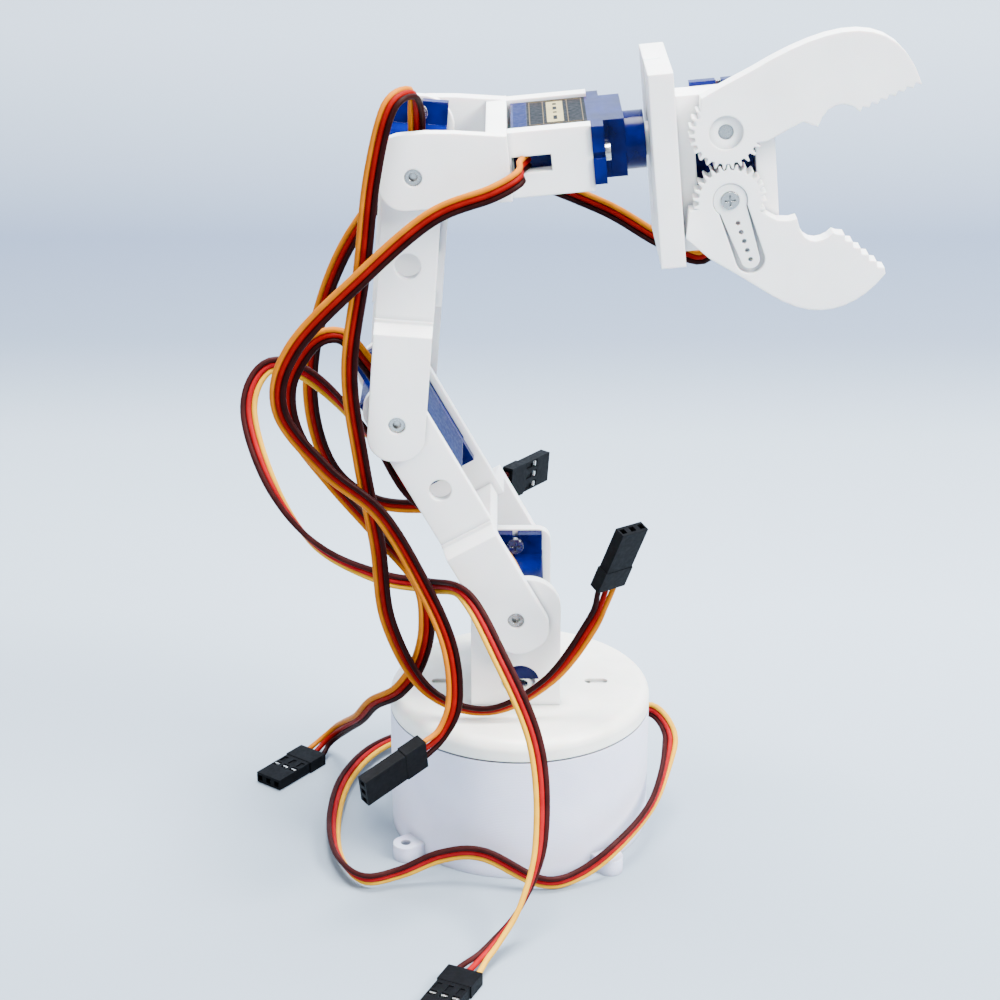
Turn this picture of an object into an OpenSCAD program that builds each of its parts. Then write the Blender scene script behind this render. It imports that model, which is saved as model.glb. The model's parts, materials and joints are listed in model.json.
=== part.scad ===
// Desktop robot arm with six micro servos, printed links and a geared gripper.
// Millimetres. Z is up, X runs along the arm's reach and Y runs across it, with the pivot pins on the -Y side.
// The origin is the centre of the base's underside. The base axis is the Z axis.

/* [Base] */
// Radius of the base and of the turntable disc
base_r = 29; // [27:0.5:32]
// Height of the base housing's rim
base_h = 28.5; // [28.5:0.1:28.9]
// Thickness of the base housing's wall
base_wall = 2.2; // [1.6:0.1:3]
// Thickness of the base housing's floor
base_floor = 1.8; // [1.6:0.1:1.8]
// Radius of the circle that the four fixing ears lie on
ear_circle_r = 32; // [31:0.5:33]
// Thickness of the turntable disc
disc_t = 4.6; // [4.6:0.1:5]

/* [Arm] */
// Height of the shoulder pivot above the turntable
shoulder_rise = 22; // [21.6:0.1:26]
// Distance from the shoulder pivot to the elbow pivot
lower_len = 51; // [51:0.5:60]
// Distance from the elbow pivot to the wrist pivot
upper_len = 52.5; // [51:0.5:60]
// Lean of the lower arm from upright, towards +X
lower_lean = -29; // [-40:1:20]
// Lean of the upper arm from upright, towards +X
upper_lean = 4.5; // [-10:0.5:20]
// Climb of the forearm above level
fore_climb = 5.5; // [-5:0.5:15]
// Width of the two links
link_w = 12; // [11.8:0.1:13]

/* [Gripper] */
// Distance between the two jaw pivots
jaw_gap = 13.7; // [13.7:0.1:14]
// Teeth on each jaw gear
jaw_teeth = 26; // [24:2:28]
// Thickness of the jaws
jaw_t = 4.2; // [4:0.1:4.4]
// Distance from the wrist pivot to the jaw pivots, along the forearm
jaw_reach = 62.3; // [62.3:0.1:62.5]

/* [Micro servo] */
// Length of the servo case
srv_l = 22.7; // [22.5:0.1:22.8]
// Width of the servo case
srv_w = 11.8; // [11.6:0.1:11.9]
// Length over the servo's two mounting tabs
srv_tabs = 32.3; // [32:0.1:32.4]
// Radius of the output shaft
shaft_r = 2.4; // [2.3:0.05:2.4]

/* [Leads] */
// Diameter of a lead's round envelope
lead_d = 2.6; // [2:0.1:2.8]
// Length of a plug
plug_l = 16; // [14:0.5:17]
// Width of a plug
plug_w = 7.7; // [7.5:0.1:8]
// Thickness of a plug
plug_t = 2.8; // [2.6:0.1:3]

/* [Hidden] */
$fn = 64;

white_print = "white";
blue_case = "royalblue";
eps = 0.01;

// Micro servo, in its own frame: origin on the shaft's axis at the case's underside,
// Z along the shaft and X towards the motor's end.
srv_nose = 5.9;
srv_tail = srv_l - srv_nose;
tab_reach = (srv_tabs - srv_l) / 2;
tab_z = 15.9;
tab_t = 2.5;
tab_top = tab_z + tab_t;
case_split = 19.4;
case_top = 22.7;
boss_top = 26.7;
shaft_top = 29.7;
horn_z = 26.9;
horn_top = 30.9;
horn_arm_t = 1.4;
horn_hub_r = 3.4;
horn_arm_l = 13;
horn_tip_r = 1.9;
tab_hole_r = 1;
tab_hole_nose = -srv_nose - 2.4;
tab_hole_tail = srv_tail + 2.4;
screw_r = 0.95;
head_r = 1.8;
head_t = 1.1;
fit = 0.05;
srv_wall = 1.2;

// Stations across the arm
near_out = -15;
near_in = -12;
inner_out = -11.7;
inner_in = -9.3;
servo_y = -9.2;
far_tab_y = servo_y + tab_top;
far_tab_t = 2.4;
far_in = 17.8;
far_out = 21.7;
clear = 0.1;

disc_z = base_h + 0.4;
disc_top = disc_z + disc_t;
pin_r = 1.5;
pin_seat_r = 1.8;
shoulder = [-1, 0, disc_top + shoulder_rise];
elbow = shoulder + lower_len * [sin(lower_lean), 0, cos(lower_lean)];
wrist = elbow + upper_len * [sin(upper_lean), 0, cos(upper_lean)];
upright_w = 19.4;
upright_rise = 8.1;
far_upright_w = 15.8;
link_over = 8;
far_plate_w = 14.8;
step_z = 19.5;
web_t = 3;

// Stations along the forearm, from the wrist pivot
roll_servo_x = 20;
web_x = 15;
cradle_x = 19.2;
cradle_end = roll_servo_x + tab_z;
plate_x = roll_servo_x + boss_top + 0.9;
plate_t = 5;
plate_low = -23.2;
plate_high = 16;
plate_half = 15.5;
drive_z = -11;
driven_z = drive_z + jaw_gap;
grip_servo_y = 17.7;
frame_front = -8.5;
frame_back = grip_servo_y - tab_top;
jaw_back = -9.2;
jaw_front = jaw_back - jaw_t;

// Leads. Each route runs from its servo's case to the back of its plug.
base_route = [
    [5.9, 0, 5], [13, 0, 5], [18, 6, 10], [21.5, 10, 18], [26.5, 12.4, 19], [31, 13.4, 19],
    [34, 7, 18], [34, 0, 16], [29.5, -15, 11], [21, -27, 7], [12, -32, 2.6], [4, -34, 2.6],
    [-8, -32, 8], [-17, -31, 7], [-26, -32, 3.5], [-34, -33, 2.6], [-40, -23, 2.5], [-42, -6, 2.5],
    [-40, 12, 2.5], [-33, 27, 2.3], [-20, 36.5, 2], [-10, 38, 1.5]
];
shoulder_route = [
    [-1, -6, 61.4], [-4, -6, 67], [-11, -5, 73], [-18, -4, 76.5], [-25, -3, 82], [-33, -2, 94],
    [-44, -2, 106], [-53, -3, 109], [-57, -8, 101], [-52, -14, 86], [-43, -13, 72], [-30, -11, 64],
    [-20, -13, 63], [-12, -22, 65], [-5, -31, 56], [3, -38, 38], [4, -46, 20], [0, -53, 9],
    [-5.5, -59, 3.5], [-11.3, -67, 1.5]
];
elbow_route = [
    [-28.6, -6, 104.8], [-32, -7, 111], [-37, -10, 118], [-43, -12, 117], [-48, -12, 108],
    [-47, -11, 97], [-40, -11, 86], [-30, -14, 75], [-21.5, -18, 66], [-20, -18, 56],
    [-22, -16, 46], [-26.5, -13.5, 38], [-32.5, -6, 31], [-36.5, 6, 21], [-40.5, 18, 12.5],
    [-43.5, 26, 6.5], [-46.5, 27.3, 3], [-49, 24, 1.5]
];
wrist_route = [
    [-21.1, -6, 157.9], [-21, -8.5, 164], [-21.6, -13, 169], [-26, -17.5, 167], [-29.6, -18, 153],
    [-32, -18, 134], [-35, -18, 113], [-33, -18, 93], [-30, -19, 75], [-28, -19, 57], [-20, -19, 41],
    [-7, -19, 36], [6, -18.5, 43], [15, -18, 56], [18.2, -19.5, 66]
];
roll_route = [
    [1.3, -5.9, 154], [-0.4, -12, 153.8], [-0.6, -16.8, 153], [-6, -19.5, 150.5], [-18, -21, 146],
    [-32, -22, 134],
    [-46, -22, 119], [-49, -22, 106], [-40, -22, 93], [-29, -22, 83], [-20, -24, 67],
    [-15, -27, 55], [-14, -30, 44], [-16.6, -32, 37.6], [-20.5, -35.2, 35.2]
];
grip_route = [
    [42, 14.7, 141.2], [42, 16, 133], [39, 20, 126], [30, 24, 129], [17, 26, 136], [-4, 27, 143],
    [-24, 26, 142], [-36, 26, 130], [-44, 26, 112], [-47, 26, 92], [-43, 26, 75],
    [-33, 25.5, 66.5], [-20, 25, 65.5], [-10, 25.5, 67], [-5, 28.2, 68.4], [-2.9, 31, 68.6]
];
base_plug_way = [1, 0.1, 0];
shoulder_plug_way = [-0.42, -0.9, 0];
elbow_plug_way = [-0.6, -0.8, 0];
wrist_plug_way = [0.29, -0.26, 0.92];
roll_plug_way = [-0.72, -0.58, -0.25];
grip_plug_way = [0.56, 0.83, -0.04];

// Frames that place a sub-part on the arm
module at_base_servo() {
    translate([0, 0, base_floor])
        rotate([0, 0, 180])
            children();
}

module at_link(pivot, lean) {
    translate(pivot)
        rotate([0, lean, 0])
            children();
}

module at_forearm() {
    translate(wrist)
        rotate([0, -fore_climb, 0])
            children();
}

// Turns a servo's frame so that its shaft points to +Y and its motor's end hangs down the link
module side_servo(height) {
    translate([0, servo_y, height])
        rotate([-90, 0, 0])
            rotate([0, 0, 90])
                children();
}

module at_servo(name) {
    if (name == "base")
        at_base_servo()
            children();
    if (name == "shoulder")
        at_link(shoulder, 0)
            side_servo(0)
                children();
    if (name == "elbow")
        at_link(shoulder, lower_lean)
            side_servo(lower_len)
                children();
    if (name == "wrist")
        at_link(elbow, upper_lean)
            side_servo(upper_len)
                children();
    if (name == "roll")
        at_forearm()
            translate([roll_servo_x, 0, 0])
                rotate([0, 90, 0])
                    rotate([0, 0, 90])
                        children();
    if (name == "grip")
        at_forearm()
            translate([jaw_reach, grip_servo_y, drive_z])
                rotate([90, 0, 0])
                    rotate([0, 0, 90])
                        children();
}

// Servo pieces
module case_block(low, high, inset = 0) {
    translate([-srv_nose + inset, -srv_w / 2 + inset, low])
        cube([srv_l - 2 * inset, srv_w - 2 * inset, high - low]);
}

module servo_case(name) {
    color(blue_case)
        at_servo(name)
            difference() {
                union() {
                    case_block(0, case_split);
                    translate([-srv_nose - tab_reach, -srv_w / 2, tab_z])
                        cube([srv_tabs, srv_w, tab_t]);
                }
                case_block(srv_wall, case_split + 1, srv_wall);
                for (x = [tab_hole_nose, tab_hole_tail])
                    translate([x, 0, tab_z - 1])
                        cylinder(r = tab_hole_r, h = tab_t + 2);
                for (x = [tab_hole_nose - 3, tab_hole_tail + 1.2])
                    translate([x, -0.6, tab_z - 1])
                        cube([1.8, 1.2, tab_t + 2]);
            }
}

module servo_cover(name) {
    color(blue_case)
        at_servo(name)
            difference() {
                union() {
                    case_block(case_split, case_top);
                    cylinder(r = srv_nose, h = boss_top);
                    translate([7, 0, 0])
                        cylinder(r = 2.2, h = boss_top - 0.4);
                }
                translate([0, 0, -1])
                    cylinder(r = 30, h = case_split + 1);
                case_block(case_split - 1, case_split + 2, srv_wall);
                cylinder(r = shaft_r + fit, h = boss_top + 1);
            }
}

module servo_motor(name) {
    color("silver")
        at_servo(name)
            translate([srv_tail - srv_wall - 4.2, 0, srv_wall]) {
                cylinder(r = 4, h = 12);
                cylinder(r = 0.8, h = 16);
            }
}

module servo_shaft(name) {
    color("ivory")
        at_servo(name)
            difference() {
                union() {
                    translate([0, 0, case_split + 0.3])
                        cylinder(r = 4.4, h = 1.4);
                    translate([0, 0, case_split + 0.3])
                        cylinder(r = shaft_r, h = shaft_top - case_split - 0.3);
                }
                translate([0, 0, shaft_top - 4])
                    cylinder(r = screw_r + fit, h = 5);
            }
}

module horn_arm(angle) {
    holes = 5;
    hole_step = 2;
    rotate([0, 0, angle])
        difference() {
            union() {
                linear_extrude(horn_arm_t)
                    polygon([[0, -2.9], [horn_arm_l, -horn_tip_r], [horn_arm_l, horn_tip_r], [0, 2.9]]);
                translate([horn_arm_l, 0, 0])
                    cylinder(r = horn_tip_r, h = horn_arm_t);
            }
            for (i = [0 : holes - 1])
                translate([horn_arm_l - i * hole_step, 0, -1])
                    cylinder(r = 0.5, h = horn_arm_t + 2, $fn = 24);
        }
}

module horn(name, arms) {
    color("white")
        at_servo(name)
            difference() {
                union() {
                    translate([0, 0, horn_z])
                        cylinder(r = horn_hub_r, h = horn_top - horn_z);
                    for (angle = arms)
                        translate([0, 0, horn_top - horn_arm_t])
                            horn_arm(angle);
                }
                translate([0, 0, horn_z - 1])
                    cylinder(r = shaft_r, h = shaft_top - horn_z + 1);
                cylinder(r = screw_r + fit, h = horn_top + 1);
                translate([0, 0, horn_top - 0.8])
                    cylinder(r = head_r + fit, h = 1);
            }
}

// The space that a horn needs in the printed part it drives, open towards the servo or away from it
module horn_recess(name, arms, low, high) {
    at_servo(name) {
        translate([0, 0, horn_z - 1])
            cylinder(r = horn_hub_r + 0.1, h = 12);
        for (angle = arms)
            rotate([0, 0, angle]) {
                translate([0, -2.95, low])
                    cube([horn_arm_l, 5.9, high - low]);
                translate([horn_arm_l, 0, low])
                    cylinder(r = 2.95, h = high - low);
            }
    }
}

module horn_screw(name) {
    at_servo(name) {
        translate([0, 0, shaft_top - 3.8])
            cylinder(r = screw_r, h = horn_top - shaft_top + 3.8);
        translate([0, 0, horn_top - 0.8])
            screw_head();
    }
}

module screw_head() {
    difference() {
        cylinder(r = head_r, h = head_t);
        for (turn = [0, 90])
            rotate([0, 0, turn])
                translate([-1.1, -0.2, head_t - 0.5])
                    cube([2.2, 0.4, 1]);
    }
}

// Screws that hold a servo by its tabs: shanks into the print, heads on the tab's free face
module tab_screws(name, depth, heads_up) {
    at_servo(name)
        for (x = [tab_hole_nose, tab_hole_tail])
            translate([x, 0, heads_up ? tab_top : tab_z])
                mirror([0, 0, heads_up ? 0 : 1]) {
                    translate([0, 0, -depth])
                        cylinder(r = screw_r, h = depth);
                    screw_head();
                }
}

module tab_pilots(name) {
    at_servo(name)
        for (x = [tab_hole_nose, tab_hole_tail])
            translate([x, 0, tab_z - 6])
                cylinder(r = screw_r, h = 14);
}

// Room for the part of a servo above its tabs
module gearbox_room(name) {
    at_servo(name)
        translate([-srv_nose - clear, -srv_w / 2 - clear, tab_top - 1])
            cube([srv_l + 2 * clear, srv_w + 2 * clear, 20]);
}

// Base
module base_housing() {
    ear_r = 2.8;
    ear_h = 3.6;
    ear_hole_r = 1.1;
    ear_angles = [38 : 90 : 308];
    post_w = 6;
    exit_angle = 25;
    exit_z = 19;
    color(white_print)
        difference() {
            union() {
                difference() {
                    union() {
                        cylinder(r = base_r, h = base_h, $fn = 128);
                        for (angle = ear_angles)
                            rotate([0, 0, angle]) {
                                translate([ear_circle_r, 0, 0])
                                    cylinder(r = ear_r, h = ear_h);
                                translate([base_r - 1, -ear_r, 0])
                                    cube([ear_circle_r - base_r + 1, 2 * ear_r, ear_h]);
                            }
                    }
                    translate([0, 0, base_floor])
                        cylinder(r = base_r - base_wall, h = base_h, $fn = 128);
                }
                at_base_servo()
                    for (x = [-srv_nose - 0.2 - post_w, srv_tail + 0.2])
                        translate([x, -post_w, -0.5])
                            cube([post_w, 2 * post_w, tab_z + 0.5]);
            }
            for (angle = ear_angles)
                rotate([0, 0, angle])
                    translate([ear_circle_r, 0, -1])
                        cylinder(r = ear_hole_r, h = ear_h + 2);
            translate([srv_nose - 1, -2, base_floor + 1])
                cube([post_w + 3, 4, 5]);
            tab_pilots("base");
            rotate([0, 0, exit_angle])
                translate([base_r - base_wall - 1, 0, exit_z])
                    rotate([0, 90, 0])
                        cylinder(r = lead_d / 2 + 0.7, h = base_wall + 3);
        }
}

module base_screws() {
    color("gray")
        tab_screws("base", tab_t + 5, true);
}

// Turntable: a disc with a rounded rim that turns on the base servo
module turntable() {
    rim_round = 2.5;
    lip_r = base_r - base_wall - 0.3;
    round_steps = 12;
    rim = [for (i = [0 : round_steps])
        let (a = 90 * i / round_steps)
        [base_r - rim_round + rim_round * cos(a), disc_top - rim_round + rim_round * sin(a)]];
    color(white_print)
        difference() {
            union() {
                rotate_extrude($fn = 128)
                    polygon(concat([[0, disc_z], [base_r, disc_z]], rim, [[0, disc_top]]));
                difference() {
                    translate([0, 0, disc_z - 1.6])
                        cylinder(r = lip_r, h = 1.7);
                    translate([0, 0, disc_z - 2])
                        cylinder(r = lip_r - 1.4, h = 2);
                }
            }
            horn_recess("base", [0, 180], disc_z - base_floor - 1, horn_top + 0.1);
            for (x = [-18.6, 15.6])
                translate([x, 0, disc_top - 0.8]) {
                    translate([0, -1.1, 0])
                        cube([3, 2.2, 1]);
                    for (end = [0, 3])
                        translate([end, 0, 0])
                            cylinder(r = 1.1, h = 1);
                }
            upright_bolts(1);
        }
}

module upright_bolts(swell) {
    for (y = [(inner_out + inner_in) / 2, far_tab_y + far_tab_t / 2])
        for (x = [-5.6, 5.6])
            translate([shoulder.x + x, y, disc_z])
                cylinder(r = 0.7, h = disc_t + 4 * swell);
}

module turntable_screws() {
    color("gray") {
        tab_screws("shoulder", tab_t + far_tab_t - 0.4, false);
        horn_screw("base");
        upright_bolts(1);
    }
}

// An upright's outline in the XZ plane, with round top corners
module upright_outline(width, top, corner) {
    translate([-width / 2, 0])
        square([width, top - corner]);
    translate([-width / 2 + corner, 0])
        square([width - 2 * corner, top]);
    for (side = [-1, 1])
        translate([side * (width / 2 - corner), top - corner])
            circle(r = corner);
}

module upright(y, thickness, width, top, corner) {
    translate([shoulder.x, y + thickness, disc_top])
        rotate([90, 0, 0])
            linear_extrude(thickness)
                upright_outline(width, top, corner);
}

module near_upright() {
    access_r = 4.2;
    access_rise = 5.5;
    color(white_print)
        difference() {
            upright(inner_out, inner_in - inner_out, upright_w, shoulder_rise + upright_rise, 7);
            translate([shoulder.x, inner_in + 1, shoulder.z])
                rotate([90, 0, 0])
                    cylinder(r = pin_r + fit, h = 5);
            translate([0, inner_in + 1, disc_top + access_rise])
                rotate([90, 0, 0])
                    cylinder(r = access_r, h = 5);
            upright_bolts(1);
        }
}

module far_upright() {
    color(white_print)
        difference() {
            upright(far_tab_y, far_tab_t, far_upright_w, shoulder_rise + 11, 3);
            gearbox_room("shoulder");
            tab_pilots("shoulder");
            upright_bolts(1);
        }
}

// Links. In a link's frame its lower pivot is the origin and Z runs to its upper pivot.
module strip(points, width) {
    translate([-width / 2, 0, 0])
        rotate([90, 0, 90])
            linear_extrude(width)
                polygon(points);
}

// Outline of a strip with both ends rounded, as a mask across the whole link
module round_ends(low, high, width) {
    corner = width / 2 - 0.6;
    translate([0, 40, 0])
        rotate([90, 0, 0])
            linear_extrude(80) {
                translate([-width / 2, low + corner])
                    square([width, high - low - 2 * corner]);
                translate([-width / 2 + corner, low])
                    square([width - 2 * corner, high - low]);
                for (x = [-1, 1])
                    for (z = [low + corner, high - corner])
                        translate([x * (width / 2 - corner), z])
                            circle(r = corner);
            }
}

module link_body(length) {
    near_points = [
        [near_out, -link_over], [near_out, step_z], [inner_out, step_z + 2.5],
        [inner_out, length + link_over], [inner_in, length + link_over],
        [inner_in, step_z + 1], [near_in, step_z - 1], [near_in, -link_over]
    ];
    far_points = [
        [far_in, -link_over], [far_in, step_z - 1], [far_tab_y, step_z - 1],
        [far_tab_y, length + 11.2], [far_tab_y + far_tab_t, length + 11.2],
        [far_tab_y + far_tab_t, step_z + 3], [far_out, step_z + 1], [far_out, -link_over]
    ];
    intersection() {
        strip(near_points, link_w);
        round_ends(-link_over, length + link_over, link_w);
    }
    intersection() {
        strip(far_points, far_plate_w);
        round_ends(-link_over, length + 11.2, far_plate_w);
    }
    translate([-link_w / 2, near_in - 0.5, step_z - 0.5])
        cube([link_w, far_tab_y - near_in + 1, web_t]);
}

module link(pivot, lean, length, vent_r, vent_z, low_servo, high_servo) {
    color(white_print)
        difference() {
            at_link(pivot, lean)
                difference() {
                    link_body(length);
                    translate([0, inner_in + 1, length])
                        rotate([90, 0, 0])
                            cylinder(r = pin_r + fit, h = 5);
                    translate([0, near_in + 1, 0])
                        rotate([90, 0, 0])
                            cylinder(r = pin_seat_r, h = 5);
                    translate([0, near_in + 1, 0])
                        rotate([90, 0, 0])
                            translate([0, vent_z, -2])
                                cylinder(r = vent_r, h = 6);
                    translate([-4, inner_in + 1, step_z - 2])
                        cube([8, 6, web_t + 4]);
                }
            gearbox_room(high_servo);
            tab_pilots(high_servo);
            horn_recess_turned(low_servo, pivot, lean);
        }
}

// The lower end's horn points up the link, whatever the link's lean
module horn_recess_turned(name, pivot, lean) {
    horn_recess(name, [horn_turn(name, lean)], horn_top - horn_arm_t, horn_top + 8);
}

function servo_lean(name) = name == "shoulder" ? 0 : name == "elbow" ? lower_lean : upper_lean;
function horn_turn(name, lean) = 180 + lean - servo_lean(name);

module lower_arm() {
    link(shoulder, lower_lean, lower_len, 2.4, 33, "shoulder", "elbow");
}

module upper_arm() {
    link(elbow, upper_lean, upper_len, 2.7, 33.3, "elbow", "wrist");
}

module pivot_pin(pivot) {
    color("silver")
        translate(pivot)
            rotate([90, 0, 0])
                difference() {
                    union() {
                        translate([0, 0, -inner_in + 0.05])
                            cylinder(r = pin_r, h = inner_in - near_in);
                        translate([0, 0, -near_in])
                            cylinder(r = pin_seat_r, h = 2.2);
                    }
                    translate([0, 0, -near_in + 1.2])
                        cylinder(r = 0.9, h = 2);
                }
}

module lower_arm_screws() {
    color("gray") {
        tab_screws("elbow", tab_t + far_tab_t - 0.4, false);
        horn_screw("shoulder");
    }
}

module upper_arm_screws() {
    color("gray") {
        tab_screws("wrist", tab_t + far_tab_t - 0.4, false);
        horn_screw("elbow");
    }
}

// Forearm: a clevis for the wrist, a web and a cradle for the roll servo. X runs along it.
module clevis_outline() {
    nose = 7.2;
    corner = 5.5;
    high = 8.7;
    low = -6.6;
    shank_high = 6.6;
    end = web_x + 3.6;
    polygon([[-nose, low + corner], [-nose + corner, low], [end, low], [end, shank_high],
        [9, high - 0.6], [3, high], [-nose + corner, high], [-nose, high - corner]]);
    for (z = [low + corner, high - corner])
        translate([-nose + corner, z])
            circle(r = corner);
}

module clevis_plate(y, thickness) {
    translate([0, y + thickness, 0])
        rotate([90, 0, 0])
            linear_extrude(thickness)
                clevis_outline();
}

module forearm() {
    wall_t = 4;
    wall_low = -7.3;
    wall_high = 6;
    cradle_l = cradle_end - cradle_x;
    color(white_print)
        difference() {
            at_forearm()
                difference() {
                    union() {
                        clevis_plate(near_out, near_in - near_out);
                        clevis_plate(far_in, far_out - far_in);
                        translate([web_x, near_out, -6.6])
                            cube([cradle_x - web_x, far_out - near_out, 13.2]);
                        translate([cradle_x - eps, -srv_nose - clear - wall_t, wall_low])
                            cube([cradle_l + eps, wall_t, wall_high - wall_low]);
                        translate([cradle_x - eps, srv_tail + clear, wall_low])
                            cube([cradle_l + eps, wall_t, wall_high - wall_low + 0.6]);
                        translate([cradle_x - eps, -srv_nose - 1, wall_low])
                            cube([cradle_l + eps, srv_l + 2, -srv_w / 2 - clear - wall_low]);
                    }
                    translate([0, near_in + 1, 0])
                        rotate([90, 0, 0])
                            cylinder(r = pin_seat_r, h = 5);
                    translate([cradle_x + 0.4, -srv_nose - 6, -2.4])
                        cube([8, 8, 3.4]);
                }
            tab_pilots("roll");
            horn_recess("wrist", [wrist_horn_turn], horn_top - horn_arm_t, horn_top + 8);
        }
}

wrist_horn_turn = 270 - fore_climb - upper_lean;

module forearm_screws() {
    color("gray") {
        tab_screws("roll", tab_t + 6, true);
        horn_screw("wrist");
    }
}

// Gripper: back plate on the roll servo's horn, frame for the gripper's servo, two geared jaws
module gripper_bracket() {
    frame_l = 19.7;
    support_l = jaw_reach + srv_w / 2 - plate_x - plate_t;
    frame_low = -16.6;
    frame_high = 9.8;
    skin_back = grip_servo_y - case_top - clear;
    room_w = srv_w + 2 * clear;
    color(white_print)
        difference() {
            at_forearm()
                difference() {
                    union() {
                        translate([plate_x, -plate_half, plate_low])
                            cube([plate_t, 2 * plate_half, plate_high - plate_low]);
                        translate([plate_x + plate_t - eps, frame_front, frame_low])
                            cube([frame_l, frame_back - frame_front, frame_high - frame_low]);
                        translate([plate_x + plate_t - eps, frame_front, plate_low + 1.2])
                            cube([support_l, frame_back - frame_front, 6]);
                    }
                    translate([jaw_reach - room_w / 2, skin_back, drive_z - srv_nose - clear])
                        cube([room_w, 10, srv_l + 2 * clear]);
                    translate([jaw_reach - room_w / 2, frame_front - 1, drive_z - srv_nose - clear])
                        cube([room_w, 10, srv_nose + 9.9]);
                    translate([jaw_reach, skin_back, driven_z])
                        rotate([90, 0, 0])
                            cylinder(r = pin_r, h = 10);
                    translate([plate_x, 0, 0])
                        rotate([0, 90, 0])
                            cylinder(r = head_r + 0.3, h = plate_t + 1);
                }
            tab_pilots("grip");
            horn_recess_back("roll");
        }
}

// The roll horn sits in the back of the plate
module horn_recess_back(name) {
    at_servo(name) {
        translate([0, 0, horn_z - 1])
            cylinder(r = horn_hub_r + 0.1, h = horn_top - horn_z + 1.1);
        for (angle = [90, 270])
            rotate([0, 0, angle]) {
                translate([0, -2.95, horn_z - 1])
                    cube([horn_arm_l, 5.9, horn_top - horn_z + 1.1]);
                translate([horn_arm_l, 0, horn_z - 1])
                    cylinder(r = 2.95, h = horn_top - horn_z + 1.1);
            }
    }
}

module gripper_screws() {
    color("gray") {
        tab_screws("grip", tab_t + 5, false);
        horn_screw("roll");
        jaw_pin();
    }
}

// The driven jaw's pivot: a plain pin fixed in the frame's front skin
module jaw_pin() {
    pin_back = grip_servo_y - case_top - clear;
    at_forearm()
        translate([jaw_reach, pin_back, driven_z])
            rotate([90, 0, 0])
                cylinder(r = pin_r, h = pin_back - jaw_front - 1.2);
}

module drive_jaw_screw() {
    color("gray")
        horn_screw("grip");
}

function bezier(a, b, c, d, steps) = [for (i = [0 : steps])
    let (t = i / steps, s = 1 - t)
    s * s * s * a + 3 * s * s * t * b + 3 * s * t * t * c + t * t * t * d];

// Grip serrations from a to b, count teeth of the given depth to the left of the line
function serrations(a, b, count, depth) = [for (i = [0 : count - 1], k = [0, 1])
    let (d = b - a, n = [-d.y, d.x] / norm(d))
    a + d * (i + 0.55 * k) / count + n * depth * k];

// Gear teeth on a jaw, clockwise from the tooth at the first angle
function gear_arc(first, count) = let (m = jaw_gap / jaw_teeth, step = 360 / jaw_teeth)
    [for (i = [0 : count - 1], k = [0 : 3])
        let (
            a = first - step * i + step * [0.29, 0.1, -0.1, -0.29][k],
            r = jaw_gap / 2 + (k == 1 || k == 2 ? 0.9 : -1.15) * m)
        r * [cos(a), sin(a)]];

module jaw_plate(outline) {
    translate([0, jaw_back, 0])
        rotate([90, 0, 0])
            linear_extrude(jaw_t)
                polygon(outline);
}

tooth_step = 360 / jaw_teeth;

// Outlines of the jaws, clockwise, from each jaw's own pivot with the forearm's direction along X
drive_outline = concat(
    gear_arc(90 + 7 * tooth_step, 16),
    [[9.2, -5], [11.7, -5.3], [13.1, -5]],
    bezier([13.6, -7.5], [14.8, -11], [18.5, -10.4], [20.2, -8.6], 6),
    serrations([21, -9], [30.3, -18.1], 6, 0.8),
    bezier([30.3, -18.1], [23.7, -25.5], [15.7, -27], [7, -20.3], 10),
    [[1.2, -15.9], [-4.8, -11.6], [-9.3, -6.9], [-8.2, -1.3]]);

driven_outline = concat(
    [[-4.8, 4.7], [-4.6, 7.2], [0.8, 9.7]],
    bezier([5.7, 11.8], [21.7, 19.8], [34.7, 21.3], [38.6, 6], 12),
    serrations([38.6, 6], [26.4, 1.7], 7, -0.8),
    bezier([26.4, 1.7], [23.5, 5], [19.5, 3.8], [18, -0.5], 6),
    [[15.2, 0.8], [11.6, -0.7], [8, -2.4]],
    gear_arc(4.5 * tooth_step - 90, 15));

module drive_jaw() {
    color(white_print)
        difference() {
            at_forearm()
                translate([jaw_reach, 0, drive_z])
                    jaw_plate(drive_outline);
            horn_recess("grip", [grip_horn_turn], horn_top - horn_arm_t, horn_top + 4);
        }
}

grip_horn_turn = 195;

module driven_jaw() {
    color(white_print)
        at_forearm()
            translate([jaw_reach, 0, driven_z])
                difference() {
                    jaw_plate(driven_outline);
                    translate([0, jaw_back + 1, 0])
                        rotate([90, 0, 0])
                            cylinder(r = pin_r + fit, h = jaw_t + 2);
                    translate([0, jaw_front + 0.9, 0])
                        rotate([90, 0, 0])
                            cylinder(r = 3.4, h = 2);
                }
}

// A lead is a round tube of eight sides, swept along its route without twist
function unit(v) = v / norm(v);

function way(route, i) = unit(route[min(i + 1, len(route) - 1)] - route[max(i - 1, 0)]);

function square_to(side, along) = unit(side - (side * along) * along);

function side_ways(route) = [
    for (i = 0, side = square_to([0.3, 0.5, 0.8], way(route, 0)); i < len(route);
        i = i + 1, side = square_to(side, way(route, i))) side];

module lead(route, plug_way) {
    ring = 8;
    last = len(route) - 1;
    side = side_ways(route);
    points = [for (i = [0 : last], k = [0 : ring - 1])
        let (
            a = 360 * k / ring,
            along = i == last ? unit(plug_way) : way(route, i),
            across = square_to(side[i], along))
        route[i] + lead_d / 2 * (cos(a) * across + sin(a) * cross(along, across))];
    walls = [for (i = [0 : last - 1], k = [0 : ring - 1])
        let (a = i * ring + k, b = i * ring + (k + 1) % ring)
        each [[a, b + ring, b], [a, a + ring, b + ring]]];
    start_cap = [for (k = [0 : ring - 1]) k];
    end_cap = [for (k = [ring - 1 : -1 : 0]) last * ring + k];
    color("orange")
        polyhedron(points, concat([start_cap, end_cap], walls));
}

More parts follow.
